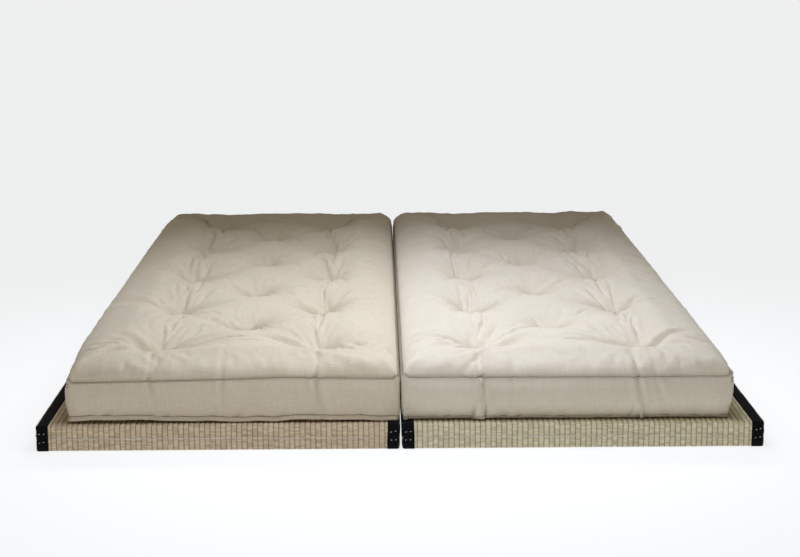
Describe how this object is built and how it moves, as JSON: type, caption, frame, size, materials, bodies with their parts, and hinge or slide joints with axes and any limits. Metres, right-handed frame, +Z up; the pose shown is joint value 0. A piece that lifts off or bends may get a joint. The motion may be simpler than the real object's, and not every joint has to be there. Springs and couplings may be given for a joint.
{
  "type": "futon mattress set",
  "caption": "Tufted cotton futon mattresses with boxed edges, side by side on woven rush tatami mats with dark cloth borders; each mattress folds in half.",
  "frame": {"origin": "on the floor, in the middle of the pair of mats", "axes": "+Z up; +Y from the front end of the beds to the rear end; +X across, from the left mattress to the right one"},
  "size_m": [1.6, 2, 0.1913],
  "materials": {
    "cotton_twill": "undyed matte cotton twill",
    "cotton_batting": "loose carded cotton",
    "foam": "open-cell foam",
    "tufting_cord": "waxed cotton cord",
    "woven_rush": "ribbed, slightly glossy rush",
    "straw_board": "pressed straw",
    "border_cloth": "plain dark cotton tape"
  },
  "bodies": {
    "left_mat": {"left_mat_core": "straw_board", "left_mat_rush_facing": "woven_rush", "left_mat_outer_border": "border_cloth", "left_mat_inner_border": "border_cloth"},
    "left_rear_half": {"left_rear_bottom_cover": "cotton_twill", "left_rear_bottom_batting": "cotton_batting", "left_rear_foam_core": "foam", "left_rear_top_batting": "cotton_batting", "left_rear_top_cover": "cotton_twill", "left_rear_boxing": "cotton_twill", "left_tuft_07": "tufting_cord", "left_tuft_08": "tufting_cord", "left_tuft_09": "tufting_cord", "left_tuft_10": "tufting_cord", "left_tuft_11": "tufting_cord", "left_tuft_12": "tufting_cord", "left_tuft_13": "tufting_cord", "left_tuft_14": "tufting_cord"},
    "left_front_half": {"left_front_bottom_cover": "cotton_twill", "left_front_bottom_batting": "cotton_batting", "left_front_foam_core": "foam", "left_front_top_batting": "cotton_batting", "left_front_top_cover": "cotton_twill", "left_front_boxing": "cotton_twill", "left_tuft_01": "tufting_cord", "left_tuft_02": "tufting_cord", "left_tuft_03": "tufting_cord", "left_tuft_04": "tufting_cord", "left_tuft_05": "tufting_cord", "left_tuft_06": "tufting_cord"},
    "right_mat": {"right_mat_core": "straw_board", "right_mat_rush_facing": "woven_rush", "right_mat_outer_border": "border_cloth", "right_mat_inner_border": "border_cloth"},
    "right_rear_half": {"right_rear_bottom_cover": "cotton_twill", "right_rear_bottom_batting": "cotton_batting", "right_rear_foam_core": "foam", "right_rear_top_batting": "cotton_batting", "right_rear_top_cover": "cotton_twill", "right_rear_boxing": "cotton_twill", "right_tuft_07": "tufting_cord", "right_tuft_08": "tufting_cord", "right_tuft_09": "tufting_cord", "right_tuft_10": "tufting_cord", "right_tuft_11": "tufting_cord", "right_tuft_12": "tufting_cord", "right_tuft_13": "tufting_cord", "right_tuft_14": "tufting_cord"},
    "right_front_half": {"right_front_bottom_cover": "cotton_twill", "right_front_bottom_batting": "cotton_batting", "right_front_foam_core": "foam", "right_front_top_batting": "cotton_batting", "right_front_top_cover": "cotton_twill", "right_front_boxing": "cotton_twill", "right_tuft_01": "tufting_cord", "right_tuft_02": "tufting_cord", "right_tuft_03": "tufting_cord", "right_tuft_04": "tufting_cord", "right_tuft_05": "tufting_cord", "right_tuft_06": "tufting_cord"}
  },
  "joints": [
    {"name": "right_mat_draw_apart", "type": "slide", "parent": "left_mat", "child": "right_mat", "axis": [1, 0, 0], "range_m": [0, 0.3]},
    {"name": "left_mattress_lift", "type": "slide", "parent": "left_mat", "child": "left_rear_half", "axis": [0, 0, 1], "range_m": [0, 0.3]},
    {"name": "left_mattress_fold", "type": "hinge", "parent": "left_rear_half", "child": "left_front_half", "pos_m": [-0.368, 0, 0.1928], "axis": [-1, 0, 0], "range_deg": [0, 178]},
    {"name": "right_mattress_lift", "type": "slide", "parent": "right_mat", "child": "right_rear_half", "axis": [0, 0, 1], "range_m": [0, 0.3]},
    {"name": "right_mattress_fold", "type": "hinge", "parent": "right_rear_half", "child": "right_front_half", "pos_m": [0.368, 0, 0.1928], "axis": [-1, 0, 0], "range_deg": [0, 178]}
  ]
}
